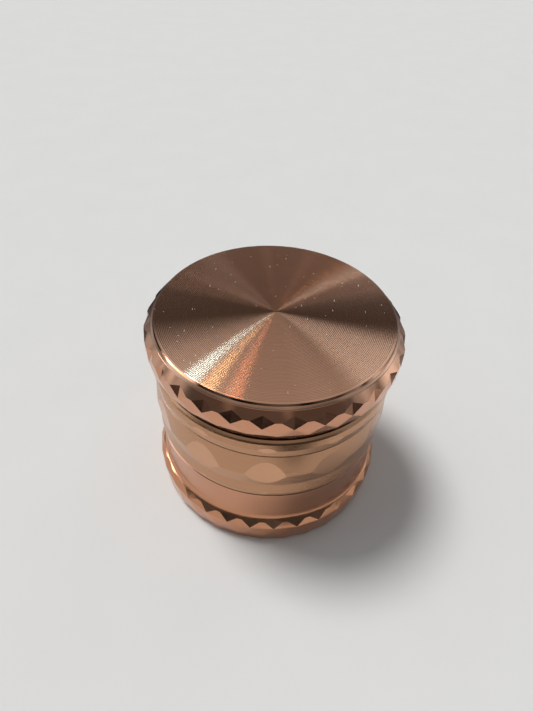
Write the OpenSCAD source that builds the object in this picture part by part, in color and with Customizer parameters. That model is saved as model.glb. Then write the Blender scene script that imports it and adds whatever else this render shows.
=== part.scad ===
// Four-part hand grinder in turned and faceted metal.
// Origin: centre of the flat underside. +Z points up through the lid. Millimetres.

/* [Overall] */
// Height of the closed grinder
total_h = 53.5; // [53:0.1:54]
// Largest radius, at the tips of the faceted rims
rim_r = 31.5; // [31:0.1:32]
// Vertical plane distance of the twelve flats cut into the waist
flat_r = 30.0; // [29.95:0.01:30.05]
// Number of flats round the waist
flat_count = 12; // [6:1:24]

/* [Lid] */
// Radius of the lid's flat top disc
disc_r = 28.7; // [28:0.1:29]
// Underside of the lid's rim, above the base
lid_bottom_z = 42.7; // [42.5:0.05:42.9]
// Thickness of the lid's top plate
plate_t = 3.4; // [3:0.1:4]
// Number of facets round the lid's rim
lid_facets = 30; // [24:1:36]

/* [Seams] */
// Top of the grinding chamber's outer rim
shoulder_z = 42.05; // [42:0.01:42.1]
// Seam between the grinding chamber and the collector
upper_seam_z = 37.0; // [36.9:0.05:37.1]
// Seam between the collector and the base
lower_seam_z = 20.8; // [20.7:0.05:20.9]
// Height left open at each screwed seam
seam_gap = 0.1; // [0.05:0.05:0.2]

/* [Threads] */
// Rise of a screwed part in one full turn
pitch = 2.0; // [2:0.5:2]
// Root radius of the outside threads
male_root_r = 26.2; // [26.1:0.05:26.3]
// Crest radius of the outside threads
male_crest_r = 27.0; // [26.9:0.05:27.05]
// Root radius of the inside threads
female_root_r = 27.3; // [27.2:0.05:27.4]
// Crest radius of the inside threads
female_crest_r = 26.5; // [26.45:0.05:26.6]
// Length of one outside thread, in turns
male_turns = 2.0; // [1.5:0.25:2]
// Length of one inside thread, in turns
female_turns = 1.5; // [1:0.25:1.5]

/* [Grinding teeth] */
// Length of a tooth along the radius
tooth_l = 3.2; // [2.8:0.1:3.3]
// Width of a tooth across the radius
tooth_w = 4.2; // [3:0.1:4.4]
// Diameter of the holes in the chamber's floor
hole_d = 4.0; // [3:0.1:4.2]

/* [Base] */
// Number of facets round the base's rim
base_facets = 32; // [24:1:36]
// Thickness of the base's floor
floor_t = 2.8; // [2:0.1:3.5]

/* [Hidden] */
$fn = 96;

// Directions of the facets and flats, in degrees from +X
lid_facet_phase = 2.9;
base_facet_phase = 5.1;
flat_phase = -0.6;

// Lid
plate_z = total_h - plate_t;
skirt_r = 27.3;
neck_r = 29.0;
neck_z = total_h - 0.6;
cap_r = 29.5;
cap_z = total_h - 1.05;
cone_r = 29.6;
cone_z = total_h - 1.15;
lid_notch_z = total_h - 2.0;
lid_shoulder = [31.25, total_h - 3.05];
lid_tip_r = rim_r - 0.15;
lid_tip_z = total_h - 5.17;
lid_foot = [31.07, total_h - 7.6];
lid_lip_r = 29.35;
boss_r = 6.2;
magnet_r = 4.0;
magnet_h = 2.0;
press_gap = 0.02;
running_gap = 0.05;
lid_boss_z = lid_bottom_z + 0.5;
lid_teeth_z = lid_bottom_z - 2.1;

// Friction ring
ring_z = shoulder_z + running_gap;
ring_h = 1.1;
ring_outer_r = 28.3;

// Grinding chamber
spigot_r = 26.6;
spigot_t = 1.7;
spigot_z = plate_z - 1.3;
chamber_floor_z = shoulder_z - 1.85;
chamber_floor_t = 2.4;
chamber_boss_z = lid_boss_z - 0.6;
chamber_teeth_z = plate_z - 0.9;
skirt_t = 1.7;
chamber_bore_r = male_root_r - skirt_t;

// Collector
shelf_z = upper_seam_z - 6.4;
collector_r = 25.2;
ledge_z = lower_seam_z + 2.1;
ledge_t = 0.9;
ledge_r = 22.8;
screen_bore_r = male_root_r - skirt_t - 0.05;

// Screen
hoop_h = 1.4;
hoop_r = screen_bore_r - 0.05;
mesh_t = 0.2;
retainer_h = 2.0;

// Base
bowl_r = 25.2;
bowl_round = 7.0;
socket_z = lower_seam_z - 6.4;
waist_r = 29.6;
flare_round = 3.0;
flare_angle = 34;
flare_z = 9.05;
base_shoulder = [30.55, 8.5];
base_tip_z = 6.8;
base_foot = [31.2, 3.6];
base_lip = [31.1, 0.8];

function polar(r, a, z) = [r * cos(a), r * sin(a), z];

// Radius at height z on the straight line through two [radius, height] points
function line_r(p, q, z) = p[0] + (q[0] - p[0]) * (z - p[1]) / (q[1] - p[1]);

// Points of an arc in the drawing plane
function arc(centre, r, from, to, steps) =
    [for (i = [0:steps]) centre + r * [cos(from + (to - from) * i / steps), sin(from + (to - from) * i / steps)]];

// Turns an outline of [radius, height] points about the Z axis
module turned(outline) {
    rotate_extrude() polygon(outline);
}

// Plain ring, or a disc when inner_r is 0
module ring(inner_r, outer_r, z, h) {
    difference() {
        translate([0, 0, z]) cylinder(r = outer_r, h = h);
        if (inner_r > 0) translate([0, 0, z - 1]) cylinder(r = inner_r, h = h + 2);
    }
}

// Solid band with n V-shaped notches in its upper edge and n facets below them.
// top, shoulder, foot and lip are [radius, height] points, from the top down; the
// notches start at notch_z on the cone and end in tips of radius tip_r at tip_z.
module faceted_band(n, phase, top, notch_z, shoulder, tip_r, tip_z, foot, lip) {
    step = 180 / n;
    notch_r = line_r(top, shoulder, notch_z);
    top_ring = [for (i = [0:2 * n - 1]) polar(top[0], phase + i * step, top[1])];
    edge_ring = [for (i = [0:2 * n - 1])
        i % 2 == 0 ? polar(notch_r, phase + i * step, notch_z) : polar(shoulder[0], phase + i * step, shoulder[1])];
    tip_ring = [for (i = [0:n - 1]) polar(tip_r, phase + 2 * i * step, tip_z)];
    foot_ring = [for (i = [0:n - 1]) polar(foot[0], phase + (2 * i + 1) * step, foot[1])];
    lip_ring = [for (i = [0:2 * n - 1]) polar(lip[0], phase + i * step, lip[1])];
    edge = 2 * n;
    tip = 4 * n;
    base = 5 * n;
    low = 6 * n;
    faces = [
        [for (i = [2 * n - 1:-1:0]) i],
        [for (i = [0:2 * n - 1]) low + i],
        for (k = [0:n - 1]) let (
            a = 2 * k, b = 2 * k + 1, c = (2 * k + 2) % (2 * n), z = (2 * k - 1 + 2 * n) % (2 * n),
            next = (k + 1) % n, last = (k - 1 + n) % n
        ) each [
            [a, b, edge + a], [b, edge + b, edge + a],
            [b, c, edge + c], [b, edge + c, edge + b],
            [edge + a, edge + b, tip + k], [edge + z, edge + a, tip + k],
            [edge + b, tip + next, tip + k], [tip + k, tip + next, base + k],
            [tip + k, base + k, base + last],
            [base + last, base + k, low + a],
            [base + last, low + a, low + z], [base + k, low + b, low + a]
        ]
    ];
    polyhedron(concat(top_ring, edge_ring, tip_ring, foot_ring, lip_ring), faces, convexity = 6);
}

// Helical ridge whose middle starts at height z on +X and climbs anticlockwise.
// root_r lies inside the wall that carries it; the last steps run out to nothing.
module thread_ridge(root_r, crest_r, z, turns) {
    steps_per_turn = 48;
    n = turns * steps_per_turn;
    run_out = 4;
    half_root = 0.55;
    half_crest = 0.3;
    side = crest_r > root_r ? 1 : -1;
    wall = root_r - side * 0.4;
    base_half = half_root + 0.1;
    sections = [for (i = [0:n]) let (
            a = 360 * i / steps_per_turn,
            mid = z + pitch * i / steps_per_turn,
            rise = max(0.1, min(1, min(i, n - i) / run_out)),
            r = root_r + (crest_r - root_r) * rise
        ) each [
            polar(wall, a, mid - side * base_half), polar(r, a, mid - side * half_crest),
            polar(r, a, mid + side * half_crest), polar(wall, a, mid + side * base_half)
        ]];
    faces = [
        [3, 2, 1, 0],
        [for (j = [0:3]) 4 * n + j],
        for (i = [0:n - 1], j = [0:3]) let (a = 4 * i + j, b = 4 * i + (j + 1) % 4) each [
            [a, b, b + 4], [a, b + 4, a + 4]
        ]
    ];
    polyhedron(sections, faces, convexity = 10);
}

// Prism whose sides are the flats of the waist
module waist_flats(z, h) {
    corner_r = flat_r / cos(180 / flat_count);
    step = 360 / flat_count;
    translate([0, 0, z]) linear_extrude(h)
        polygon([for (i = [0:flat_count - 1]) corner_r * [cos(flat_phase + (i + 0.5) * step), sin(flat_phase + (i + 0.5) * step)]]);
}

// One ring of upright diamond-shaped teeth
module teeth(r, count, first, z, h) {
    for (i = [0:count - 1])
        rotate(first + 360 * i / count) translate([r, 0, z]) linear_extrude(h)
            polygon([[-tooth_l / 2, 0], [0, -tooth_w / 2], [tooth_l / 2, 0], [0, tooth_w / 2]]);
}

// One ring of drilled holes through the chamber's floor
module floor_holes(r, count, first) {
    for (i = [0:count - 1])
        rotate(first + 360 * i / count) translate([r, 0, chamber_floor_z - chamber_floor_t - 1])
            cylinder(d = hole_d, h = chamber_floor_t + 2, $fn = 32);
}

// Faceted base with the thread socket and the rounded catching bowl
module base() {
    color([0.76, 0.55, 0.44]) difference() {
        union() {
            base_outside();
            faceted_band(
                base_facets, base_facet_phase, [30.1, flare_z - 0.1], flare_z - 0.35, base_shoulder,
                rim_r, base_tip_z, base_foot, base_lip
            );
        }
        base_inside();
    }
    color([0.76, 0.55, 0.44])
        thread_ridge(female_root_r, female_crest_r, socket_z + 2.1, female_turns);
}

// Turned outside of the base, with the concave flare above its rim
module base_outside() {
    top_z = lower_seam_z - seam_gap;
    flare_top = flare_z + flare_round * sin(flare_angle);
    flare = arc([waist_r + flare_round, flare_top], flare_round, 180, 180 + flare_angle, 8);
    turned(concat(
        [[0, 0], [30.3, 0], [30.8, 0.5], [30.8, 2.5], [29.5, 2.5], [29.5, flare_z - 0.5], [30.0, flare_z - 0.5]],
        [for (i = [8:-1:0]) flare[i]],
        [[waist_r, 16.5], [29.9, top_z - 0.35], [29.65, top_z], [0, top_z]]
    ));
}

// Hollow of the base: socket for the collector and the bowl below it
module base_inside() {
    round_end = arc([bowl_r - bowl_round, floor_t + bowl_round], bowl_round, -90, 0, 12);
    turned(concat(
        [[0, floor_t]],
        round_end,
        [[bowl_r, socket_z], [female_root_r, socket_z], [female_root_r, 30], [0, 30]]
    ));
}

// Ring that holds the screen up inside the collector
module screen_retaining_ring() {
    color([0.74, 0.74, 0.73]) ring(ledge_r + 0.1, screen_bore_r - running_gap, screen_z() - retainer_h - 0.05, retainer_h);
}

// Underside of the screen's hoop
function screen_z() = ledge_z - hoop_h - 0.05;

// Crimped hoop with the slot that grips the edge of the mesh
module screen_hoop() {
    slot_h = mesh_t + 0.04;
    color([0.78, 0.78, 0.77]) difference() {
        ring(ledge_r + 0.4, hoop_r, screen_z(), hoop_h);
        ring(0, hoop_r - 0.5, screen_z() + (hoop_h - slot_h) / 2, slot_h);
    }
}

// Fine sifting screen
module screen_mesh() {
    color([0.70, 0.70, 0.69]) ring(0, hoop_r - 0.55, screen_z() + (hoop_h - mesh_t) / 2, mesh_t);
}

// Middle part: thread socket above, screen seat and outside thread below
module collector() {
    color([0.77, 0.57, 0.46]) {
        difference() {
            intersection() {
                collector_outside();
                waist_flats(lower_seam_z - 10, 40);
            }
            collector_inside();
        }
        thread_ridge(female_root_r, female_crest_r, shelf_z + 2.1, female_turns);
        thread_ridge(male_root_r, male_crest_r, lower_seam_z - 5.3, male_turns);
    }
}

// Turned outside of the collector, with the crest that the flats cut into lenses
module collector_outside() {
    top_z = upper_seam_z - seam_gap;
    turned([
        [0, lower_seam_z - 6.0], [male_root_r, lower_seam_z - 6.0], [male_root_r, lower_seam_z],
        [29.7, lower_seam_z], [30.02, lower_seam_z + 1.0], [29.85, lower_seam_z + 4.65],
        [30.4, lower_seam_z + 8.9], [29.85, top_z - 0.3], [29.6, top_z], [0, top_z]
    ]);
}

// Hollow of the collector, from the screen's bore up to the thread socket
module collector_inside() {
    turned([
        [0, lower_seam_z - 8], [screen_bore_r, lower_seam_z - 8], [screen_bore_r, ledge_z], [ledge_r, ledge_z],
        [ledge_r, ledge_z + ledge_t], [collector_r - 1, ledge_z + ledge_t], [collector_r, ledge_z + ledge_t + 1],
        [collector_r, shelf_z], [female_root_r, shelf_z], [female_root_r, upper_seam_z + 2], [0, upper_seam_z + 2]
    ]);
}

// Magnet in the middle of the grinding chamber
module chamber_magnet() {
    color([0.80, 0.80, 0.82]) ring(0, magnet_r, chamber_boss_z - magnet_h - 0.05, magnet_h);
}

// Drilled floor of the grinding chamber
module chamber_floor() {
    color([0.78, 0.58, 0.47]) difference() {
        ring(0, chamber_bore_r, chamber_floor_z - chamber_floor_t, chamber_floor_t);
        floor_holes(10, 8, 22.5);
        floor_holes(14, 8, 0);
        floor_holes(18, 16, 11.25);
        floor_holes(22.2, 12, 0);
    }
}

// Upright teeth of the grinding chamber and the boss that holds its magnet
module chamber_teeth() {
    color([0.78, 0.58, 0.47]) {
        teeth(14, 8, 22.5, chamber_floor_z, chamber_teeth_z - chamber_floor_z);
        teeth(22.1, 12, 15, chamber_floor_z, chamber_teeth_z - chamber_floor_z);
        difference() {
            ring(0, boss_r, chamber_floor_z, chamber_boss_z - chamber_floor_z);
            ring(0, magnet_r + running_gap, chamber_boss_z - magnet_h - 0.1, magnet_h + 1);
        }
    }
}

// Wall of the grinding chamber: spigot, outer rim and outside thread
module grinding_chamber() {
    color([0.78, 0.58, 0.47]) {
        difference() {
            intersection() {
                chamber_outside();
                waist_flats(upper_seam_z - 10, 40);
            }
            chamber_inside();
        }
        thread_ridge(male_root_r, male_crest_r, upper_seam_z - 5.3, male_turns);
    }
}

// Turned outside of the grinding chamber
module chamber_outside() {
    skirt_z = upper_seam_z - 6.0;
    turned([
        [0, skirt_z], [male_root_r, skirt_z], [male_root_r, upper_seam_z], [29.6, upper_seam_z],
        [29.85, upper_seam_z + 0.3], [30.08, upper_seam_z + 2.25], [29.9, shoulder_z - 0.95], [29.65, shoulder_z],
        [spigot_r, shoulder_z], [spigot_r, spigot_z - 0.5], [spigot_r - 0.5, spigot_z], [0, spigot_z]
    ]);
}

// Bore of the chamber's wall, a little wider above the floor
module chamber_inside() {
    inner_r = spigot_r - spigot_t;
    turned([
        [0, upper_seam_z - 8], [chamber_bore_r, upper_seam_z - 8], [chamber_bore_r, chamber_floor_z],
        [inner_r, chamber_floor_z + 0.8], [inner_r, spigot_z + 1], [0, spigot_z + 1]
    ]);
}

// Slip ring that the lid turns on
module friction_ring() {
    color([0.10, 0.09, 0.09]) ring(spigot_r + running_gap, ring_outer_r, ring_z, ring_h);
}

// Magnet in the middle of the lid
module lid_magnet() {
    color([0.80, 0.80, 0.82]) ring(0, magnet_r, lid_boss_z, magnet_h);
}

// Teeth that hang from the lid between the chamber's, and the boss that holds its magnet
module lid_teeth() {
    color([0.72, 0.50, 0.40]) {
        teeth(10, 6, 0, lid_teeth_z, plate_z - lid_teeth_z);
        teeth(18, 12, 15, lid_teeth_z, plate_z - lid_teeth_z);
        difference() {
            ring(0, boss_r, lid_boss_z, plate_z - lid_boss_z);
            ring(0, magnet_r + press_gap, lid_boss_z - 1, magnet_h + 1);
        }
    }
}

// Lid: flat disc, faceted rim and skirt
module lid() {
    color([0.72, 0.50, 0.40]) difference() {
        union() {
            turned([
                [0, cone_z - 2], [cap_r, cone_z - 2], [cap_r, cap_z], [neck_r, neck_z], [disc_r, total_h], [0, total_h]
            ]);
            faceted_band(
                lid_facets, lid_facet_phase, [cone_r, cone_z], lid_notch_z, lid_shoulder,
                lid_tip_r, lid_tip_z, lid_foot, [lid_lip_r, lid_bottom_z]
            );
        }
        lid_inside();
    }
}

// Hollow of the lid, with the rabbet that takes the friction ring
module lid_inside() {
    roof_z = ring_z + ring_h + running_gap;
    rabbet_r = ring_outer_r + 0.15;
    turned([
        [0, lid_bottom_z - 1], [rabbet_r, lid_bottom_z - 1], [rabbet_r, roof_z], [skirt_r, roof_z],
        [skirt_r, plate_z - 0.8], [skirt_r - 0.8, plate_z], [0, plate_z]
    ]);
}

base();
screen_retaining_ring();
screen_hoop();
screen_mesh();
collector();
chamber_magnet();
chamber_floor();
chamber_teeth();
grinding_chamber();
friction_ring();
lid_magnet();
lid_teeth();
lid();
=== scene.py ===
"""Looks of the four-part hand grinder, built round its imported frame. Metres, +Z up, origin under the base."""
import math

import bmesh
import bpy
import numpy as np
from mathutils import Matrix, Vector


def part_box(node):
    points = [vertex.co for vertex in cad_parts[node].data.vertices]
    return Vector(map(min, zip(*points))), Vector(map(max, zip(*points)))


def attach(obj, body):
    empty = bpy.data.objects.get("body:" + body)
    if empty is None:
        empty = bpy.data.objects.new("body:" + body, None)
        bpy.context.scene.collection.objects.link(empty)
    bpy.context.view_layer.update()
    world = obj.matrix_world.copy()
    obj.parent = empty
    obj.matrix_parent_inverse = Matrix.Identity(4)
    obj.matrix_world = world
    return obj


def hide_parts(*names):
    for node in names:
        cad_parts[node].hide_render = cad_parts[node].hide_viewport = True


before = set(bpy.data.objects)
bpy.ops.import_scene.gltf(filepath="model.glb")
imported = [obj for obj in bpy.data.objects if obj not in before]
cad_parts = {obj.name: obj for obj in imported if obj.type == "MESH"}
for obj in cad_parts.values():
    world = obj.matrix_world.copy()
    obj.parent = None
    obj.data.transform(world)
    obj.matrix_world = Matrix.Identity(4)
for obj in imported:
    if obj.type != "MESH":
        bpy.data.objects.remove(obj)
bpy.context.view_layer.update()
MM = 0.001


def heights(node):
    """Lowest and highest z of a CAD node, in millimetres."""
    lo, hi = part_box(node)
    return lo.z / MM, hi.z / MM


# Sizes of the frame, in millimetres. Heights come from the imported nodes.
BASE_TOP = heights("base")[1]
COLLECTOR_LOW, COLLECTOR_TOP = heights("collector")
CHAMBER_LOW, SPIGOT_TOP = heights("grinding_chamber")
FLOOR_LOW, FLOOR_TOP = heights("chamber_floor")
SLIP_LOW, SLIP_TOP = heights("friction_ring")
LID_LOW, TOP = heights("lid")
LID_TEETH_LOW, PLATE_Z = heights("lid_teeth")
CHAMBER_TEETH_TOP = heights("chamber_teeth")[1]
LOWER_SEAM = BASE_TOP + 0.1
UPPER_SEAM = COLLECTOR_TOP + 0.1
SEAM_GAP = 0.07
SHOULDER = SLIP_LOW - 0.05

# Facets of the two rims: how many, and the angle of the first notch.
LID_FACETS, LID_PHASE = 30, 2.9
BASE_FACETS, BASE_PHASE = 32, 5.1
RIM_R = 31.5
CROWN_ROUNDING = 0.22
CROWN_DROP = 0.012

# The turned disc. GROOVE_FALL is the share of the pitch gone by and the share of the depth reached.
DISC_R = 28.7
DISC_EDGE = 0.25
GROOVE_PITCH = 0.39
GROOVE_DEPTH = 0.048
GROOVE_FALL = ((0.0, 0.0), (0.25, 0.05), (0.5, 0.25), (0.75, 0.6), (0.92, 1.0))

# Threads: the wall they stand on, their crest, and their pitch.
SPIGOT_R, SPIGOT_CREST = 26.2, 27.0
SOCKET_R, SOCKET_CREST = 27.3, 26.5
THREAD_PITCH = 2.0

# The flats that cut the waist, by distance from the axis, and what counts as an edge or an inside face there.
FLAT_R = 30.0
FLAT_COUNT = 12
FLAT_PHASE = -0.6
WAIST_SHARP = 2.5
INSIDE_R = 28.0


# ---------------------------------------------------------------- mesh making

class Shape:
    """Vertices and faces in millimetres, with a material index and a smooth flag for each face."""

    def __init__(self):
        self.verts, self.faces, self.mats, self.smooth = [], [], [], []

    def point(self, x, y, z):
        self.verts.append((x, y, z))
        return len(self.verts) - 1

    def polar(self, r, degrees, z):
        return self.point(*polar_point(r, degrees, z))

    def face(self, ids, mat=0, smooth=True):
        self.faces.append(ids)
        self.mats.append(mat)
        self.smooth.append(smooth)

    def ring(self, r, z, n, phase=0.0):
        if r < 1e-6:
            return [self.point(0, 0, z)]
        return [self.polar(r, phase + 360 * i / n, z) for i in range(n)]

    def band(self, a, b, mat=0):
        """Faces between two rings, either of which may be a single middle point."""
        n = max(len(a), len(b))
        for i in range(n):
            j = (i + 1) % n
            if len(a) == 1:
                self.face((a[0], b[j], b[i]), mat)
            elif len(b) == 1:
                self.face((a[i], a[j], b[0]), mat)
            else:
                self.face((a[i], a[j], b[j], b[i]), mat)

    def strip(self, a, b):
        """Faces between two open rows of points."""
        for i in range(len(a) - 1):
            self.face((a[i], a[i + 1], b[i + 1], b[i]))

    def doubling(self, coarse, fine, mat=0):
        """Faces between a ring and one that has twice as many points."""
        n = len(coarse)
        for i in range(n):
            j = (i + 1) % n
            self.face((coarse[i], coarse[j], fine[2 * j], fine[2 * i + 1], fine[2 * i]), mat)

    def tube(self, rings, mat=0):
        """A closed tube through a row of rings."""
        for a, b in zip(rings, rings[1:]):
            self.band(a, b, mat)
        self.face(tuple(rings[0]), mat)
        self.face(tuple(rings[-1]), mat)

    def lathe(self, outline, n, phase=0.0, mat=0, closed=True, first=None, last=None):
        """Turns an outline of (radius, height) points about Z. first and last are rings already made."""
        rings = [self.ring(r, z, n, phase) for r, z in outline]
        if first is not None:
            rings.insert(0, first)
        if last is not None:
            rings.append(last)
        for a, b in zip(rings, rings[1:]):
            if len(a) > 1 or len(b) > 1:
                self.band(a, b, mat)
        if closed:
            self.band(rings[-1], rings[0], mat)
        return rings

    def object(self, name, materials, sharp=25.0):
        """A linked object, still in millimetres, with edges sharper than this many degrees marked."""
        mesh = bpy.data.meshes.new(name)
        mesh.from_pydata(self.verts, [], self.faces)
        for material in materials:
            mesh.materials.append(material)
        mesh.polygons.foreach_set("material_index", self.mats)
        ob = bpy.data.objects.new(name, mesh)
        bpy.context.scene.collection.objects.link(ob)
        turn_normals_out(mesh)
        mark_sharp(ob, sharp)  # this makes every face smooth, so the flags come after it
        mesh.polygons.foreach_set("use_smooth", self.smooth)
        return ob


def polar_point(r, degrees, z):
    a = math.radians(degrees)
    return np.array([r * math.cos(a), r * math.sin(a), z])


def turn_normals_out(mesh):
    bm = bmesh.new()
    bm.from_mesh(mesh)
    bmesh.ops.recalc_face_normals(bm, faces=bm.faces)
    bm.to_mesh(mesh)
    bm.free()


def mark_sharp(ob, degrees):
    ob.data.set_sharp_from_angle(angle=math.radians(degrees))


def to_metres(ob):
    ob.data.transform(Matrix.Scale(MM, 4))
    ob.data.update()


def neighbours(points, i):
    """The point before, the point itself and the point after, in a closed row."""
    return [np.array(points[(i + k) % len(points)], float) for k in (-1, 0, 1)]


def soften(outline, radius):
    """Rounds every corner of a closed outline with three points, within what its edges allow."""
    straight, longest = math.radians(12), 0.4
    made = []
    for i, corner in enumerate(outline):
        before, here, after = neighbours(outline, i)
        to_before, to_after = before - here, after - here
        lb, la = np.linalg.norm(to_before), np.linalg.norm(to_after)
        bend = math.acos(max(-1, min(1, float(-to_before @ to_after / (lb * la)))))
        if corner[0] < 1e-6 or bend < straight:
            made.append(corner)
            continue
        cut = min(radius, longest * lb, longest * la)
        start, end = here + to_before / lb * cut, here + to_after / la * cut
        for t in (0.0, 0.5, 1.0):
            made.append(tuple((1 - t) ** 2 * start + 2 * t * (1 - t) * here + t * t * end))
    return made


def arc(centre, r, start, end, steps):
    """Points of an arc in an outline, from one angle in degrees to another."""
    turns = [math.radians(start + (end - start) * i / steps) for i in range(steps + 1)]
    return [(centre[0] + r * math.cos(a), centre[1] + r * math.sin(a)) for a in turns]


def apply_boolean(ob, tool, operation):
    """Joins, cuts or intersects ob with a closed tool object, and removes the tool."""
    m = ob.modifiers.new("solid", "BOOLEAN")
    m.operation = operation
    m.solver = "EXACT"
    m.object = tool
    dg = bpy.context.evaluated_depsgraph_get()
    made = bpy.data.meshes.new_from_object(ob.evaluated_get(dg), preserve_all_data_layers=True, depsgraph=dg)
    ob.modifiers.clear()
    old = ob.data
    ob.data = made
    made.name = ob.name
    bpy.data.meshes.remove(old)
    bpy.data.objects.remove(tool)


def place(ob, body, slot, *nodes):
    """Scales a finished piece to metres and hangs it in the frame."""
    to_metres(ob)
    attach(ob, body)
    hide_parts(*nodes)


# ------------------------------------------------------------------ materials

def new_material(name):
    mat = bpy.data.materials.new(name)
    mat.use_nodes = True
    tree = mat.node_tree
    return mat, tree, tree.nodes["Principled BSDF"]


def fill(tree, node, values):
    """Sets a node's inputs, each to a value of its own or to another node's output."""
    for key, value in values.items():
        if isinstance(value, bpy.types.NodeSocket):
            tree.links.new(value, node.inputs[key])
        else:
            node.inputs[key].default_value = value


def add(tree, kind, values=None, **settings):
    node = tree.nodes.new(kind)
    for key, value in settings.items():
        setattr(node, key, value)
    fill(tree, node, values or {})
    return node


def calc(tree, operation, *inputs):
    return add(tree, "ShaderNodeMath", dict(enumerate(inputs)), operation=operation).outputs[0]


def vector_calc(tree, operation, values):
    node = add(tree, "ShaderNodeVectorMath", values, operation=operation)
    return node.outputs["Value" if operation in ("LENGTH", "DOT_PRODUCT") else "Vector"]


def object_coordinates(tree):
    return add(tree, "ShaderNodeTexCoord").outputs["Object"]


def turned_coordinates(tree, across, around):
    """Coordinates that change fast across a turned surface and slowly round it, with no seam."""
    x, y, z = add(tree, "ShaderNodeSeparateXYZ", {0: object_coordinates(tree)}).outputs
    flat = add(tree, "ShaderNodeCombineXYZ", {"X": x, "Y": y}).outputs[0]
    radius = vector_calc(tree, "LENGTH", {0: flat})
    unit = vector_calc(tree, "NORMALIZE", {0: flat})
    turn = vector_calc(tree, "SCALE", {0: unit, "Scale": around})
    fast = calc(tree, "MULTIPLY", calc(tree, "ADD", radius, z), across)
    up = add(tree, "ShaderNodeCombineXYZ", {"Z": fast}).outputs[0]
    return vector_calc(tree, "ADD", {0: turn, 1: up})


def noise(tree, where, scale, detail=2.0, rough=0.5):
    """Noise at some coordinates, or at the object's own where there are none."""
    if where is None:
        where = object_coordinates(tree)
    values = {"Scale": scale, "Detail": detail, "Roughness": rough, "Vector": where}
    return add(tree, "ShaderNodeTexNoise", values).outputs["Fac"]


def spread(tree, value, low, high, a=0.3, b=0.7):
    """Maps a to b onto low to high. Noise seldom leaves 0.3 to 0.7."""
    values = {"Value": value, "From Min": a, "From Max": b, "To Min": low, "To Max": high}
    return add(tree, "ShaderNodeMapRange", values).outputs["Result"]


def mix_colours(tree, factor, a, b):
    return add(tree, "ShaderNodeMix", {"Factor": factor, "A": a, "B": b}, data_type="RGBA").outputs["Result"]


def tint(tree, value, dark, light):
    return mix_colours(tree, value, (*dark, 1), (*light, 1))


def bump(tree, height, strength, distance=0.00002, normal=None):
    values = {"Strength": strength, "Distance": distance, "Height": height}
    if normal is not None:
        values["Normal"] = normal
    return add(tree, "ShaderNodeBump", values).outputs["Normal"]


def scaled(colour, k):
    return tuple(c * k for c in colour)


def metal(name, colour, rough, marks, grain, around=3.0, variation=0.06):
    """Anodised metal with turning marks round the axis and an etched grain, each given as (scale, bump)."""
    mat, tree, bsdf = new_material(name)
    lines = noise(tree, turned_coordinates(tree, marks[0], around), 1.0, 3.0, 0.6)
    cloud = noise(tree, None, 90.0, 3.0)
    fine = noise(tree, None, grain[0], 2.0, 0.6)
    mixed = calc(tree, "MULTIPLY_ADD", lines, 0.5, calc(tree, "MULTIPLY", cloud, 0.5))
    dark, light = scaled(colour, 1 - variation), scaled(colour, 1 + variation)
    fill(tree, bsdf, {
        "Metallic": 1.0,
        "Base Color": tint(tree, spread(tree, mixed, 0, 1), dark, light),
        "Roughness": spread(tree, mixed, rough - 0.03, rough + 0.03),
        "Normal": bump(tree, lines, marks[1], normal=bump(tree, fine, grain[1])),
    })
    return mat


def disc_metal(name, colour):
    """Face-turned disc: fine rings, a highlight stretched across them, and a little dust."""
    mat, tree, bsdf = new_material(name)
    rings = noise(tree, turned_coordinates(tree, 9000.0, 0.3), 1.0, 3.0, 0.7)
    wide = noise(tree, turned_coordinates(tree, 700.0, 0.3), 1.0, 2.0)
    tone = tint(tree, spread(tree, rings, 0, 1), scaled(colour, 0.93), scaled(colour, 1.06))
    specks = dust_mask(tree, 420.0, 0.90, 0.032)
    fibres = dust_mask(tree, 620.0, 0.88, 0.035, 0.15, 0.6)
    dust = calc(tree, "MAXIMUM", specks, fibres)
    fill(tree, bsdf, {
        "Metallic": spread(tree, dust, 1.0, 0.5, 0.0, 1.0),
        "Base Color": mix_colours(tree, dust, tone, (0.95, 0.84, 0.78, 1)),
        "Roughness": calc(tree, "MULTIPLY_ADD", dust, 0.5, spread(tree, wide, 0.165, 0.185)),
        "Normal": bump(tree, rings, 0.04, 0.00001),
        "Anisotropic": 1.0,
        "Anisotropic Rotation": 0.25,
        "Tangent": add(tree, "ShaderNodeTangent", direction_type="RADIAL", axis="Z").outputs[0],
    })
    return mat


def dust_mask(tree, scale, share, size, stretch=1.0, turn=0.0):
    """Small specks, or short fibres where stretched: one to a cell, with this share of the cells left out."""
    turned = add(tree, "ShaderNodeMapping", {
        "Vector": object_coordinates(tree), "Rotation": (0, 0, turn), "Scale": (1.0, stretch, 1.0)})
    values = {"Vector": turned.outputs["Vector"], "Scale": scale}
    cells = add(tree, "ShaderNodeTexVoronoi", values, voronoi_dimensions="2D")
    near = calc(tree, "LESS_THAN", cells.outputs["Distance"], size)
    pick = add(tree, "ShaderNodeSeparateColor", {0: cells.outputs["Color"]})
    return calc(tree, "MULTIPLY", near, calc(tree, "GREATER_THAN", pick.outputs[0], share))


def polymer(name):
    """Black slip-ring plastic with a fine moulded grain."""
    mat, tree, bsdf = new_material(name)
    cloud = noise(tree, None, 300.0, 3.0)
    fill(tree, bsdf, {
        "Base Color": tint(tree, cloud, (0.012, 0.011, 0.011), (0.03, 0.027, 0.026)),
        "Roughness": spread(tree, cloud, 0.45, 0.62),
        "Normal": bump(tree, noise(tree, None, 4000.0, 2.0), 0.3),
    })
    return mat


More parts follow.
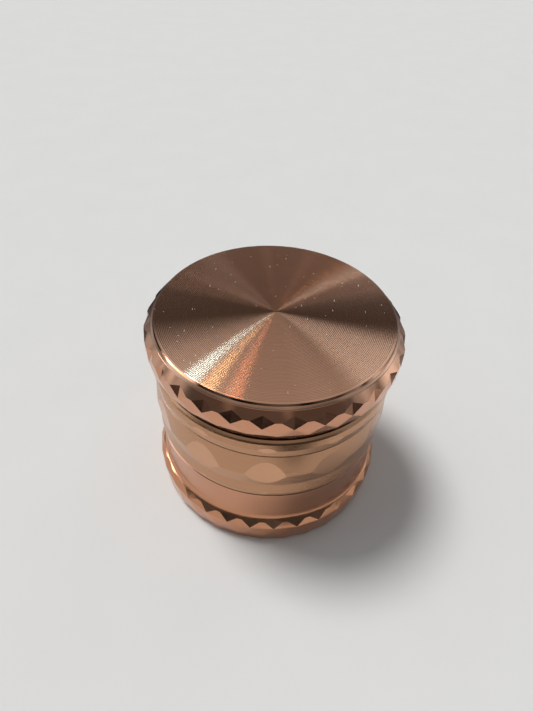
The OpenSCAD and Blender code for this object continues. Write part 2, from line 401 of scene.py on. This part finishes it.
def floor_paper(name):
    """Matt pale paper. It has no gloss, so it doesn't show the cards that light the metal."""
    mat, tree, bsdf = new_material(name)
    cloud = noise(tree, None, 40.0, 4.0)
    fill(tree, bsdf, {
        "Base Color": tint(tree, cloud, (0.86, 0.86, 0.86), (0.90, 0.90, 0.895)),
        "Roughness": 0.9,
        "Specular IOR Level": 0.0,
        "Normal": bump(tree, noise(tree, None, 2500.0, 2.0), 0.1),
    })
    return mat


ROSE = (0.66, 0.32, 0.19)
TAN = (0.55, 0.295, 0.165)
CLAY = (0.60, 0.285, 0.16)
DISC = disc_metal("disc_turned", (0.62, 0.335, 0.215))
POLISHED = metal("rim_polished", ROSE, 0.10, (2600.0, 0.25), (9000.0, 0.05), around=2.0)
BASE_RIM = metal("base_rim_polished", CLAY, 0.12, (2600.0, 0.25), (9000.0, 0.05), around=2.0)
RIM_EDGE = metal("rim_edge", (0.70, 0.40, 0.27), 0.22, (5000.0, 0.3), (9000.0, 0.1))
SATIN = metal("waist_satin", TAN, 0.26, (1800.0, 0.12), (14000.0, 0.25))
LENS = metal("waist_flats", (0.66, 0.36, 0.21), 0.2, (500.0, 0.05), (14000.0, 0.12))
BASE_WALL = metal("base_satin", CLAY, 0.2, (1500.0, 0.12), (12000.0, 0.15))
INSIDE = metal("inside_turned", (0.62, 0.38, 0.26), 0.3, (3500.0, 0.5), (9000.0, 0.2))
STEEL = metal("stainless_steel", (0.55, 0.55, 0.54), 0.25, (3000.0, 0.3), (9000.0, 0.1), variation=0.05)
NICKEL = metal("nickel_plate", (0.72, 0.71, 0.70), 0.09, (4000.0, 0.1), (7000.0, 0.05), variation=0.03)
POLYMER = polymer("slip_polymer")


# --------------------------------------------------------------------- rims

def on_line(top, bottom, z):
    """Radius at height z on the straight line between two (radius, height) points."""
    return top[0] + (bottom[0] - top[0]) * (z - top[1]) / (bottom[1] - top[1])


def on_cone_and_plane(a, b, c, degrees, top, bottom):
    """The point at this angle that is both on the cone and in the plane of three points."""
    n = np.cross(b - a, c - a)
    way = math.radians(degrees)
    u = n[0] * math.cos(way) + n[1] * math.sin(way)
    slope = (bottom[0] - top[0]) / (bottom[1] - top[1])
    z = (n @ a - u * (top[0] - slope * top[1])) / (n[2] + u * slope)
    return polar_point(top[0] + slope * (z - top[1]), degrees, z)


def faceted_rim(s, n, phase, upper, top, shoulder, notch_z, tip, foot, cone_mat, facet_mat):
    """The V notches in a cone, the tips below them and the flat facets between. upper is the cone's top ring,
    with four points a facet. The other places are (radius, height). Returns the ring of feet."""
    step = 360 / n
    half = step / 2
    crown_z = shoulder[1] - CROWN_DROP
    crown_r = on_line(top, shoulder, crown_z)
    notch, tips, feet, edge, crown = [], [], [], [], []
    for k in range(n):
        at = phase + k * step
        a = polar_point(on_line(top, shoulder, notch_z), at, notch_z)
        c = polar_point(tip[0], at, tip[1])
        notch.append(s.point(*a))
        tips.append(s.point(*c))
        feet.append(s.polar(foot[0], at + half, foot[1]))
        crown.append(s.polar(shoulder[0], at + half, shoulder[1]))
        sides = []
        for sign in (-1, 1):
            f = polar_point(crown_r, at + sign * (half - CROWN_ROUNDING * half), crown_z)
            e = on_cone_and_plane(a, f, c, at + sign * half / 2, top, shoulder)
            sides.append((s.point(*e), s.point(*f)))
        edge.append(sides)
    for k in range(n):
        nxt, prev = (k + 1) % n, (k - 1) % n
        (e_left, f_left), (e_right, f_right) = edge[k]
        e_next, f_next = edge[nxt][0]
        u = [upper[(4 * k + j) % (4 * n)] for j in range(5)]
        s.face((u[0], u[1], e_right, notch[k]), cone_mat)
        s.face((u[1], u[2], crown[k], f_right, e_right), cone_mat)
        s.face((u[2], u[3], e_next, f_next, crown[k]), cone_mat)
        s.face((u[3], u[4], notch[nxt], e_next), cone_mat)
        s.face((notch[k], e_right, f_right, tips[k]), facet_mat, False)
        s.face((notch[k], tips[k], f_left, e_left), facet_mat, False)
        s.face((f_right, crown[k], f_next, tips[nxt], tips[k]), facet_mat, False)
        s.face((tips[k], tips[nxt], feet[k]), facet_mat, False)
        s.face((tips[k], feet[k], feet[prev]), facet_mat, False)
    return feet


def skirt(s, feet, lip, mat, smooth):
    """Faces from a rim's feet down to a lip that has twice as many points."""
    n = len(feet)
    for k in range(n):
        a, b, z = lip[2 * k], lip[2 * k + 1], lip[(2 * k - 1) % (2 * n)]
        last = feet[(k - 1) % n]
        s.face((last, feet[k], a), mat, smooth)
        s.face((last, a, z), mat, smooth)
        s.face((feet[k], b, a), mat, smooth)


# ---------------------------------------------------------------------- lid

def groove_outline(radius, top):
    """From the middle out: each groove falls gently outward and climbs back in a short step."""
    points = [(0.0, top - GROOVE_DEPTH)]
    count = int(round((radius - DISC_EDGE) / GROOVE_PITCH))
    pitch = (radius - DISC_EDGE) / count
    for i in range(count):
        for share, deep in GROOVE_FALL:
            r = (i + share) * pitch
            if r > 0.3:
                points.append((r, top - GROOVE_DEPTH * deep))
    return points + [(radius - DISC_EDGE, top), (radius, top - 0.05)]


def lid_bore():
    """Inside of the lid from its lower edge up to the plate that the teeth hang from."""
    roof = SLIP_TOP + 0.05
    return [
        (28.5, LID_LOW), (28.45, LID_LOW + 0.05), (28.45, roof - 0.05), (28.4, roof),
        (27.35, roof), (27.3, roof + 0.05), (27.3, PLATE_Z - 0.8), (27.1, PLATE_Z - 0.35),
        (26.5, PLATE_Z), (20.0, PLATE_Z), (10.0, PLATE_Z), (0.0, PLATE_Z),
    ]


def make_lid():
    n, phase, seg = LID_FACETS, LID_PHASE, 4 * LID_FACETS
    turned, polished, edge, inside = range(4)
    s = Shape()

    def lower(outline, mat, first):
        return s.lathe(outline, seg, phase, mat, closed=False, first=first)[-1]

    disc = lower(groove_outline(DISC_R, TOP), turned, None)
    neck = lower([(28.74, TOP - 0.07), (28.98, TOP - 0.56), (29.03, TOP - 0.61)], polished, disc)
    cap = lower([(29.06, TOP - 0.63), (29.46, TOP - 1.0), (29.5, TOP - 1.05)], edge, neck)
    top, shoulder = (29.6, TOP - 1.15), (31.25, TOP - 3.05)
    cone = lower([(29.53, TOP - 1.1), top], polished, cap)
    tip, foot = (31.35, TOP - 5.17), (31.07, TOP - 7.6)
    feet = faceted_rim(s, n, phase, cone, top, shoulder, TOP - 2.0, tip, foot, polished, polished)
    lip = s.ring(29.35, LID_LOW + 0.1, 2 * n, phase)
    skirt(s, feet, lip, polished, False)
    inner = s.ring(29.2, LID_LOW, 2 * n, phase)
    s.band(lip, inner, polished)
    lowest = s.ring(28.6, LID_LOW, seg, phase)
    s.doubling(inner, lowest, polished)
    lower(lid_bore(), inside, lowest)
    place(s.object("lid_shell", [DISC, POLISHED, RIM_EDGE, INSIDE], 9.0), "lid", "lid_metal", "lid")


# -------------------------------------------------------------------- teeth

def diamond(grow):
    """A tooth's section, grown by this much, with three short edges at each corner."""
    half_l, half_w = 1.6 + grow, 2.1 + grow
    corners = [(half_l, 0), (0, half_w), (-half_l, 0), (0, -half_w)]
    points = []
    for i in range(4):
        before, here, after = neighbours(corners, i)
        for way, t in ((before, 0.14), (before, 0.05), (after, 0.05), (after, 0.14)):
            points.append(here + (way - here) * t)
    return points


def tooth(s, r, degrees, z_root, z_end):
    """One diamond tooth with eased edges and a small flare at its root."""
    side = 1 if z_end > z_root else -1
    turn = math.radians(degrees)
    c, w = math.cos(turn), math.sin(turn)
    levels = [
        (0.0, z_root), (-0.02, z_root + side * 0.05), (-0.05, z_end - side * 0.3),
        (-0.16, z_end - side * 0.08), (-0.3, z_end),
    ]
    rings = []
    for grow, z in levels:
        rings.append([s.point((r + x) * c - y * w, (r + x) * w + y * c, z) for x, y in diamond(grow)])
    s.tube(rings)


def tooth_ring(s, count, r, first, z_root, z_end):
    for i in range(count):
        tooth(s, r, first + 360 * i / count, z_root, z_end)


def boss(s, z_root, z_end):
    """The round boss that a magnet is pressed into."""
    seat = z_end - 2.1 * (1 if z_end > z_root else -1)
    outline = [(0, z_root), (6.2, z_root), (6.2, z_end), (4.05, z_end), (4.05, seat), (0, seat)]
    s.lathe(soften(outline, 0.25), 72, closed=False)


def make_lid_teeth():
    s = Shape()
    tooth_ring(s, 6, 10, 0, PLATE_Z, LID_TEETH_LOW)
    tooth_ring(s, 12, 18, 15, PLATE_Z, LID_TEETH_LOW)
    boss(s, PLATE_Z, LID_LOW + 0.5)
    place(s.object("lid_toothing", [INSIDE], 35.0), "lid", "lid_metal", "lid_teeth")


def make_chamber_teeth():
    s = Shape()
    tooth_ring(s, 8, 14, 22.5, FLOOR_TOP, CHAMBER_TEETH_TOP)
    tooth_ring(s, 12, 22.1, 15, FLOOR_TOP, CHAMBER_TEETH_TOP)
    boss(s, FLOOR_TOP, LID_LOW - 0.1)
    place(s.object("chamber_toothing", [INSIDE], 35.0), "chamber", "body_metal", "chamber_teeth")


def drill(s, x, y):
    """The tool for one hole, which widens to a small countersink at the top."""
    hole, sink, sides = 2.0, 2.25, 32
    levels = [(hole, FLOOR_LOW - 1), (hole, FLOOR_TOP - 0.2), (sink, FLOOR_TOP + 0.05), (sink, FLOOR_TOP + 1)]
    turns = [2 * math.pi * j / sides for j in range(sides)]
    rings = []
    for r, z in levels:
        rings.append([s.point(x + r * math.cos(a), y + r * math.sin(a), z) for a in turns])
    s.tube(rings)


def make_chamber_floor():
    s, drills = Shape(), Shape()
    plate = [(0, FLOOR_LOW), (24.5, FLOOR_LOW), (24.5, FLOOR_TOP), (0, FLOOR_TOP)]
    s.lathe(soften(plate, 0.1), 120, closed=False)
    ob = s.object("chamber_drilled_floor", [INSIDE])
    for radius, count, first in ((10, 8, 22.5), (14, 8, 0), (18, 16, 11.25), (22.2, 12, 0)):
        for i in range(count):
            x, y, _ = polar_point(radius, first + 360 * i / count, 0)
            drill(drills, x, y)
    apply_boolean(ob, drills.object("drills", [INSIDE]), "DIFFERENCE")
    mark_sharp(ob, 30)
    place(ob, "chamber", "body_metal", "chamber_floor")


# ------------------------------------------------------ chamber, collector, base

def thread(root_r, crest_r, z, turns, materials, mat):
    """A closed helical ridge that runs out at both ends."""
    s = Shape()
    steps, run_out = 96, 8
    n = int(turns * steps)
    side = 1 if crest_r > root_r else -1
    wall = root_r - side * 0.3
    rings = []
    for i in range(n + 1):
        a, mid = 360 * i / steps, z + THREAD_PITCH * i / steps
        rise = max(0.1, min(1, min(i, n - i) / run_out))
        r = root_r + (crest_r - root_r) * rise
        near = r - side * 0.08
        section = ((wall, -0.63), (near, -0.33), (r, -0.25), (r, 0.25), (near, 0.33), (wall, 0.63))
        rings.append([s.polar(at, a, mid + up) for at, up in section])
    s.tube(rings, mat)
    return s.object("ridge", materials)


def flats(low, high, materials, mat):
    """The twelve-sided prism that the waist is cut to."""
    s = Shape()
    half = 180 / FLAT_COUNT
    corner = FLAT_R / math.cos(math.radians(half))
    s.tube([s.ring(corner, z, FLAT_COUNT, FLAT_PHASE + half) for z in (low, high)], mat)
    return s.object("prism", materials)


def turned_part(name, outline, materials):
    s = Shape()
    s.lathe(soften(outline, 0.05), 360)
    return s.object(name, materials, WAIST_SHARP)


def paint_inside(ob):
    """Gives every face near the axis, or facing it, the inside finish."""
    for p in ob.data.polygons:
        c = p.center
        r = math.hypot(c.x, c.y)
        facing = (p.normal.x * c.x + p.normal.y * c.y) / max(r, 1e-6)
        if r < INSIDE_R or facing < -0.3:
            p.material_index = 1


def cut_waist(ob, low, high, seam, materials):
    """Cuts the flats into a waist part and adds the thread of its spigot."""
    apply_boolean(ob, flats(low - 5, high + 5, materials, 2), "INTERSECT")
    apply_boolean(ob, thread(SPIGOT_R, SPIGOT_CREST, seam - 5.3, 2.0, materials, 1), "UNION")


def make_chamber():
    mats = [SATIN, INSIDE, LENS]
    seam = UPPER_SEAM
    outline = [
        (SPIGOT_R, CHAMBER_LOW), (SPIGOT_R, seam - SEAM_GAP), (29.74, seam - SEAM_GAP), (29.88, seam + 0.12),
        (30.08, seam + 2.25), (29.9, SHOULDER - 0.95), (29.74, SHOULDER - 0.42), (29.25, SHOULDER),
        (26.6, SHOULDER), (26.6, SPIGOT_TOP - 0.5), (26.1, SPIGOT_TOP), (24.9, SPIGOT_TOP),
        (24.9, FLOOR_TOP + 0.8), (24.5, FLOOR_TOP), (24.5, CHAMBER_LOW),
    ]
    ob = turned_part("chamber_wall", outline, mats)
    cut_waist(ob, CHAMBER_LOW, SPIGOT_TOP, seam, mats)
    paint_inside(ob)
    mark_sharp(ob, WAIST_SHARP)
    place(ob, "chamber", "body_metal", "grinding_chamber")


def make_collector():
    mats = [SATIN, INSIDE, LENS]
    seam = LOWER_SEAM
    shelf = UPPER_SEAM - 6.4
    outline = [
        (SPIGOT_R, COLLECTOR_LOW), (SPIGOT_R, seam - SEAM_GAP), (29.76, seam - SEAM_GAP), (29.88, seam + 0.1),
        (30.02, seam + 1.0), (29.85, seam + 4.65), (30.4, seam + 8.9), (29.85, COLLECTOR_TOP - 0.14),
        (29.72, COLLECTOR_TOP), (SOCKET_R, COLLECTOR_TOP), (SOCKET_R, shelf), (25.2, shelf),
        (25.2, seam + 4.0), (24.2, seam + 3.0), (22.8, seam + 3.0), (22.8, seam + 2.1),
        (24.45, seam + 2.1), (24.45, COLLECTOR_LOW),
    ]
    ob = turned_part("collector_body", outline, mats)
    cut_waist(ob, COLLECTOR_LOW, COLLECTOR_TOP, seam, mats)
    apply_boolean(ob, thread(SOCKET_R, SOCKET_CREST, shelf + 2.1, 1.5, mats, 1), "UNION")
    paint_inside(ob)
    mark_sharp(ob, WAIST_SHARP)
    place(ob, "collector", "body_metal", "collector")


def base_wall(top):
    """Outside of the base from its upper edge down its smooth waist and round the flare to the rim's cone."""
    flare_r, flare_turn = 3.0, 34
    centre = (29.6 + flare_r, 9.05 + flare_r * math.sin(math.radians(flare_turn)))
    edge = [
        (27.4, BASE_TOP), (29.74, BASE_TOP), (29.79, BASE_TOP - 0.02), (29.88, BASE_TOP - 0.14),
        (29.88, BASE_TOP - 0.4), (29.6, 16.5),
    ]
    return edge + arc(centre, flare_r, 180, 180 + flare_turn, 10) + [top]


def base_bowl():
    """Inside of the base from the middle of the bowl up to its upper edge."""
    socket = [
        (25.2, 14.3), (25.3, 14.4), (27.25, 14.4), (SOCKET_R, 14.45), (SOCKET_R, BASE_TOP - 0.05),
    ]
    return [(0.0, 2.8)] + arc((18.2, 9.8), 7.0, -90, 0, 14) + socket


def make_base():
    mats = [BASE_WALL, BASE_RIM, INSIDE]
    wall, rim, inside = range(3)
    n, phase, seg = BASE_FACETS, BASE_PHASE, 4 * BASE_FACETS
    s = Shape()
    top, shoulder = (30.1, 8.95), (30.55, 8.5)
    rings = s.lathe(base_wall(top), seg, phase, wall, closed=False)
    feet = faceted_rim(s, n, phase, rings[-1], top, shoulder, 8.85, (RIM_R, 6.8), (31.35, 3.0), wall, rim)
    lip = [s.polar(30.85 + 0.2 * (i % 2), phase + 180 * i / n, 0.7) for i in range(2 * n)]
    skirt(s, feet, lip, rim, True)
    chamfer, under = (s.ring(r, z, 2 * n, phase) for r, z in ((30.6, 0.25), (30.2, 0.0)))
    s.band(lip, chamfer, rim)
    s.band(chamfer, under, rim)
    foot = s.ring(29.0, 0.0, seg, phase)
    s.doubling(under, foot, rim)
    s.lathe([(20.0, 0.0), (10.0, 0.0), (0.0, 0.0)], seg, phase, rim, closed=False, first=foot)
    s.lathe(base_bowl(), seg, phase, inside, closed=False, last=rings[0])
    ob = s.object("base_body", mats, 30.0)
    apply_boolean(ob, thread(SOCKET_R, SOCKET_CREST, 16.5, 1.5, mats, inside), "UNION")
    place(ob, "base", "body_metal", "base")


# ----------------------------------------------------------------- small parts

def plain_ring(name, material, node, body, slot, inner, outer):
    """A turned ring of square section with eased edges."""
    low, high = heights(node)
    s = Shape()
    s.lathe(soften([(inner, low), (outer, low), (outer, high), (inner, high)], 0.2), 180)
    place(s.object(name, [material]), body, slot, node)


def magnet(node, body):
    low, high = heights(node)
    s = Shape()
    s.lathe(soften([(0, low), (4.0, low), (4.0, high), (0, high)], 0.25), 96, closed=False)
    place(s.object(node + "_plated", [NICKEL]), body, "magnet_plating", node)


def make_screen_hoop():
    """A ring with a groove inside that holds the edge of the wire cloth."""
    low, high = heights("screen_hoop")
    mid, gap, inner, outer, deep = (low + high) / 2, 0.12, 23.2, 24.4, 23.9
    section = [
        (inner, low), (outer, low), (outer, high), (inner, high),
        (inner, mid + gap), (deep, mid + gap), (deep, mid - gap), (inner, mid - gap),
    ]
    s = Shape()
    s.lathe(soften(section, 0.15), 180)
    place(s.object("screen_crimped_hoop", [STEEL]), "collector", "stainless", "screen_hoop")


def make_screen():
    """Woven wire cloth: each wire is a thin square tube that passes over and under the ones across it."""
    low, high = heights("screen_mesh")
    mid, reach, step, half = (low + high) / 2, 23.8, 0.95, 0.045
    wave = (high - low) / 2 - half
    lines = int(reach / step)
    s = Shape()
    for across in (0, 1):
        for k in range(-lines, lines + 1):
            off = k * step
            end = math.sqrt(max(reach ** 2 - off ** 2, 0.0))
            count = max(2, int(2 * end / (step / 2)))
            rings = []
            for i in range(count + 1):
                along = -end + 2 * end * i / count
                z = mid + wave * math.cos(math.pi * (along / step + k + across))
                ring = []
                for du, dz in ((half, 0), (0, half), (-half, 0), (0, -half)):
                    x, y = (along, off + du) if across else (off + du, along)
                    ring.append(s.point(x, y, z + dz))
                rings.append(ring)
            s.tube(rings)
    place(s.object("screen_woven_wire", [STEEL], 60.0), "collector", "stainless", "screen_mesh")


# ------------------------------------------------------------------- the stage

def make_floor():
    s = Shape()
    half = 3000
    s.strip(*([s.point(x, y, 0) for x in (-half, half)] for y in (-half, half)))
    ob = s.object("floor", [floor_paper("floor_paper")])
    to_metres(ob)


def reflected_card(name, shape, material):
    """A card that only mirrors see: it neither shows in the picture nor lights or shades the floor."""
    ob = shape.object(name, [material])
    to_metres(ob)
    ob.visible_camera = False
    ob.visible_diffuse = False
    ob.visible_shadow = False


def fill_ramp(ramp, stops):
    """Gives a colour ramp its grey levels. stops are (position, level) pairs."""
    elements = ramp.color_ramp.elements
    while len(elements) < len(stops):
        elements.new(0.5)
    for element, (at, level) in zip(elements, stops):
        element.position = at
        element.color = (level, level, level, 1)


def glow(name, levels, colour, cloud):
    """Emission that changes round the stage. levels are (azimuth, level) pairs; cloud is how patchy it is."""
    mat, tree, bsdf = new_material(name)
    where = object_coordinates(tree)
    turn = add(tree, "ShaderNodeTexGradient", {"Vector": where}, gradient_type="RADIAL")
    ramp = add(tree, "ShaderNodeValToRGB", {0: turn.outputs["Fac"]})
    fill_ramp(ramp, sorted(((azimuth / 360 + 0.5) % 1.0, level) for azimuth, level in levels))
    patchy = spread(tree, noise(tree, where, 16.0, 2.0), 1 - cloud, 1 + cloud, 0.35, 0.65)
    fill(tree, bsdf, {
        "Base Color": (0, 0, 0, 1),
        "Specular IOR Level": 0.0,
        "Emission Color": (*colour, 1),
        "Emission Strength": calc(tree, "MULTIPLY", ramp.outputs[0], patchy),
    })
    return mat


def make_walls():
    """A wall round the stage: bright to the left and right, dim behind and dark in front."""
    levels = [
        (0, 0.85), (40, 0.45), (90, 0.18), (150, 0.28), (168, 0.50),
        (180, 1.00), (198, 0.90), (210, 0.08), (322, 0.08), (345, 0.50),
    ]
    s = Shape()
    low, high = (s.ring(230, z, 90) for z in (0.5, 135))
    s.band(low, high)
    reflected_card("walls", s, glow("dim_walls", levels, (0.85, 1.0, 1.12), 0.8))


def make_table():
    """A dark table beyond the pale sheet that the object stands on. It leaves a gap at the left, and its near
    edge comes closest to the object in front."""
    levels = [(0, 0.45), (50, 0.14), (165, 0.06), (200, 0.09), (270, 0.06), (318, 0.07), (340, 0.40)]
    first, turn, count, z = 197, 335, 84, 0.4
    usual, far, closer, closest_at, width = 100, 232, 38, 23, 6
    s = Shape()
    turns = [first + turn * i / count for i in range(count + 1)]
    near = [usual - closer * math.exp(-((i - closest_at) / width) ** 2) for i in range(count + 1)]
    s.strip([s.polar(r, at, z) for r, at in zip(near, turns)], [s.polar(far, at, z) for at in turns])
    reflected_card("table", s, glow("dark_table", levels, (0.95, 0.95, 0.98), 0.9))


def make_strip():
    """A bright upright strip in front of the left wall, which shows in the rims as a window would."""
    levels = [(171, 5.0), (184, 7.0), (189, 3.0), (206, 3.0), (214, 0.4)]
    count, radius = 20, 224
    first, last = levels[0][0], levels[-1][0]
    s = Shape()
    turns = [first + (last - first) * i / count for i in range(count + 1)]
    s.strip(*([s.polar(radius, at, z) for at in turns] for z in (8, 46)))
    reflected_card("strip", s, glow("strip_light", levels, (1.0, 0.98, 0.96), 0.3))


def sun(name, direction, strength, degrees, colour, on_metal):
    """A distant lamp that is seen either by the metal or by the floor."""
    data = bpy.data.lights.new(name, "SUN")
    data.energy = strength
    data.angle = math.radians(degrees)
    data.color = colour
    ob = bpy.data.objects.new(name, data)
    ob.rotation_mode = "QUATERNION"
    ob.rotation_quaternion = Vector(direction).to_track_quat("Z", "Y")
    ob.visible_glossy = on_metal
    ob.visible_diffuse = not on_metal
    bpy.context.scene.collection.objects.link(ob)


def make_lights():
    """The soft key makes the floor's shadow. The lamps draw the white, gold and red streaks on the disc."""
    sun("key_soft", (-0.35, 0.21, 0.913), 1.85, 18, (1.0, 0.98, 0.95), False)
    sun("lamp_white", (-0.400, 0.321, 0.859), 0.24, 6.0, (0.33, 0.72, 1.0), True)
    sun("lamp_gold", (-0.329, 0.238, 0.9125), 0.105, 6.0, (0.95, 0.86, 0.50), True)
    sun("lamp_red", (-0.190, 0.208, 0.9585), 0.06, 6.0, (1.0, 0.58, 0.38), True)


def cap(tree, way, azimuth, elevation, inner, outer):
    """1 within inner degrees of a direction, falling smoothly to 0 at outer degrees."""
    a, e = math.radians(azimuth), math.radians(elevation)
    middle = (math.cos(e) * math.cos(a), math.cos(e) * math.sin(a), math.sin(e))
    near = vector_calc(tree, "DOT_PRODUCT", {0: way, 1: middle})
    values = {
        "Value": near, "From Min": math.cos(math.radians(outer)), "From Max": math.cos(math.radians(inner))}
    return add(tree, "ShaderNodeMapRange", values, interpolation_type="SMOOTHSTEP").outputs["Result"]


def room_walls(tree, way):
    """Grey levels by height, one ramp for the front of the room and one for behind."""
    front = [(0.0, 0.10), (0.34, 0.12), (0.5, 0.11), (0.60, 0.20), (0.80, 0.46), (1.0, 0.62)]
    behind = [(0.0, 0.20), (0.30, 0.12), (0.56, 0.08), (0.72, 0.09), (0.80, 0.36), (0.87, 0.50), (1.0, 0.56)]
    split = add(tree, "ShaderNodeSeparateXYZ", {0: way})
    ramps = []
    for stops in (front, behind):
        ramp = add(tree, "ShaderNodeValToRGB", {0: split.outputs["Z"]})
        fill_ramp(ramp, stops)
        ramps.append(ramp.outputs[0])
    values = {"Value": split.outputs["Y"], "From Min": 0.05, "From Max": 0.4}
    side = add(tree, "ShaderNodeMapRange", values, interpolation_type="SMOOTHSTEP")
    return mix_colours(tree, side.outputs["Result"], *ramps)


def add_windows(tree, way, room):
    """Soft round windows in the room, each azimuth, elevation, inner and outer angle, level and colour."""
    warm, cool = (1.0, 0.96, 0.92), (0.80, 0.93, 1.02)
    windows = [
        (87, 26, 5, 15, 0.06, warm), (145, 56, 6, 21, 0.8, cool), (168, 38, 8, 24, 0.6, cool),
        (50, 45, 6, 14, 1.35, cool), (132, 43, 4, 11, 0.5, cool), (44, 64, 4, 14, 0.2, cool),
        (187, 27, 5, 16, 0.8, cool), (342, 30, 5, 16, 0.35, cool), (285, 36, 3, 7, 0.25, warm),
        (236, 34, 3, 8, 0.2, warm),
    ]
    for azimuth, elevation, inner, outer, level, colour in windows:
        share = cap(tree, way, azimuth, elevation, inner, outer)
        lit = vector_calc(tree, "SCALE", {0: scaled(colour, level), "Scale": share})
        room = vector_calc(tree, "ADD", {0: room, 1: lit})
    return room


def make_world():
    """A room that the metal reflects, dimmer as light on the floor. The camera itself sees a pale backdrop."""
    world = bpy.data.worlds.new("studio")
    bpy.context.scene.world = world
    world.use_nodes = True
    tree = world.node_tree
    way = add(tree, "ShaderNodeTexCoord").outputs["Generated"]
    path = add(tree, "ShaderNodeLightPath")
    values = {"Value": path.outputs["Is Diffuse Ray"], "To Min": 1.0, "To Max": 0.6}
    dimmer = add(tree, "ShaderNodeMapRange", values).outputs["Result"]
    room = tree.nodes["Background"]
    fill(tree, room, {"Color": add_windows(tree, way, room_walls(tree, way)), "Strength": dimmer})
    pale = add(tree, "ShaderNodeBackground", {"Color": (0.90, 0.90, 0.89, 1), "Strength": 1.0})
    mix = add(tree, "ShaderNodeMixShader", {
        0: path.outputs["Is Camera Ray"], 1: room.outputs[0], 2: pale.outputs[0]})
    fill(tree, tree.nodes["World Output"], {"Surface": mix.outputs[0]})


def make_camera():
    """Close above the front edge, a little left of the middle, and rolled slightly. Its place is measured in disc
    radii from the middle of the disc."""
    data = bpy.data.cameras.new("camera")
    data.lens, data.sensor_width = 25.57, 36.0
    data.clip_start, data.clip_end = 0.005, 20.0
    ob = bpy.data.objects.new("camera", data)
    tilt, roll = 0.7738, 0.0577
    distance, left, down = 4.18506, 0.05656, 0.37096
    back = Vector((0, -math.cos(tilt), math.sin(tilt)))
    right = Vector((1, 0, 0))
    up = Vector((0, math.sin(tilt), math.cos(tilt)))
    ob.location = Vector((0, 0, TOP * MM)) + DISC_R * MM * (distance * back - left * right - down * up)
    x = math.cos(roll) * right + math.sin(roll) * up
    y = -math.sin(roll) * right + math.cos(roll) * up
    ob.rotation_mode = "QUATERNION"
    ob.rotation_quaternion = Matrix((x, y, back)).transposed().to_quaternion()
    bpy.context.scene.collection.objects.link(ob)
    bpy.context.scene.camera = ob


bpy.context.scene.view_settings.view_transform = "Standard"
make_camera()
make_lid()
make_lid_teeth()
make_chamber_teeth()
make_chamber_floor()
make_chamber()
make_collector()
make_base()
plain_ring("slip_ring", POLYMER, "friction_ring", "slip_ring", "slip_polymer", 26.65, 28.3)
magnet("lid_magnet", "lid")
magnet("chamber_magnet", "chamber_magnet")
plain_ring("retaining_ring", STEEL, "screen_retaining_ring", "screen_ring", "stainless", 22.9, 24.4)
make_screen_hoop()
make_screen()
make_floor()
make_walls()
make_table()
make_strip()
make_lights()
make_world()
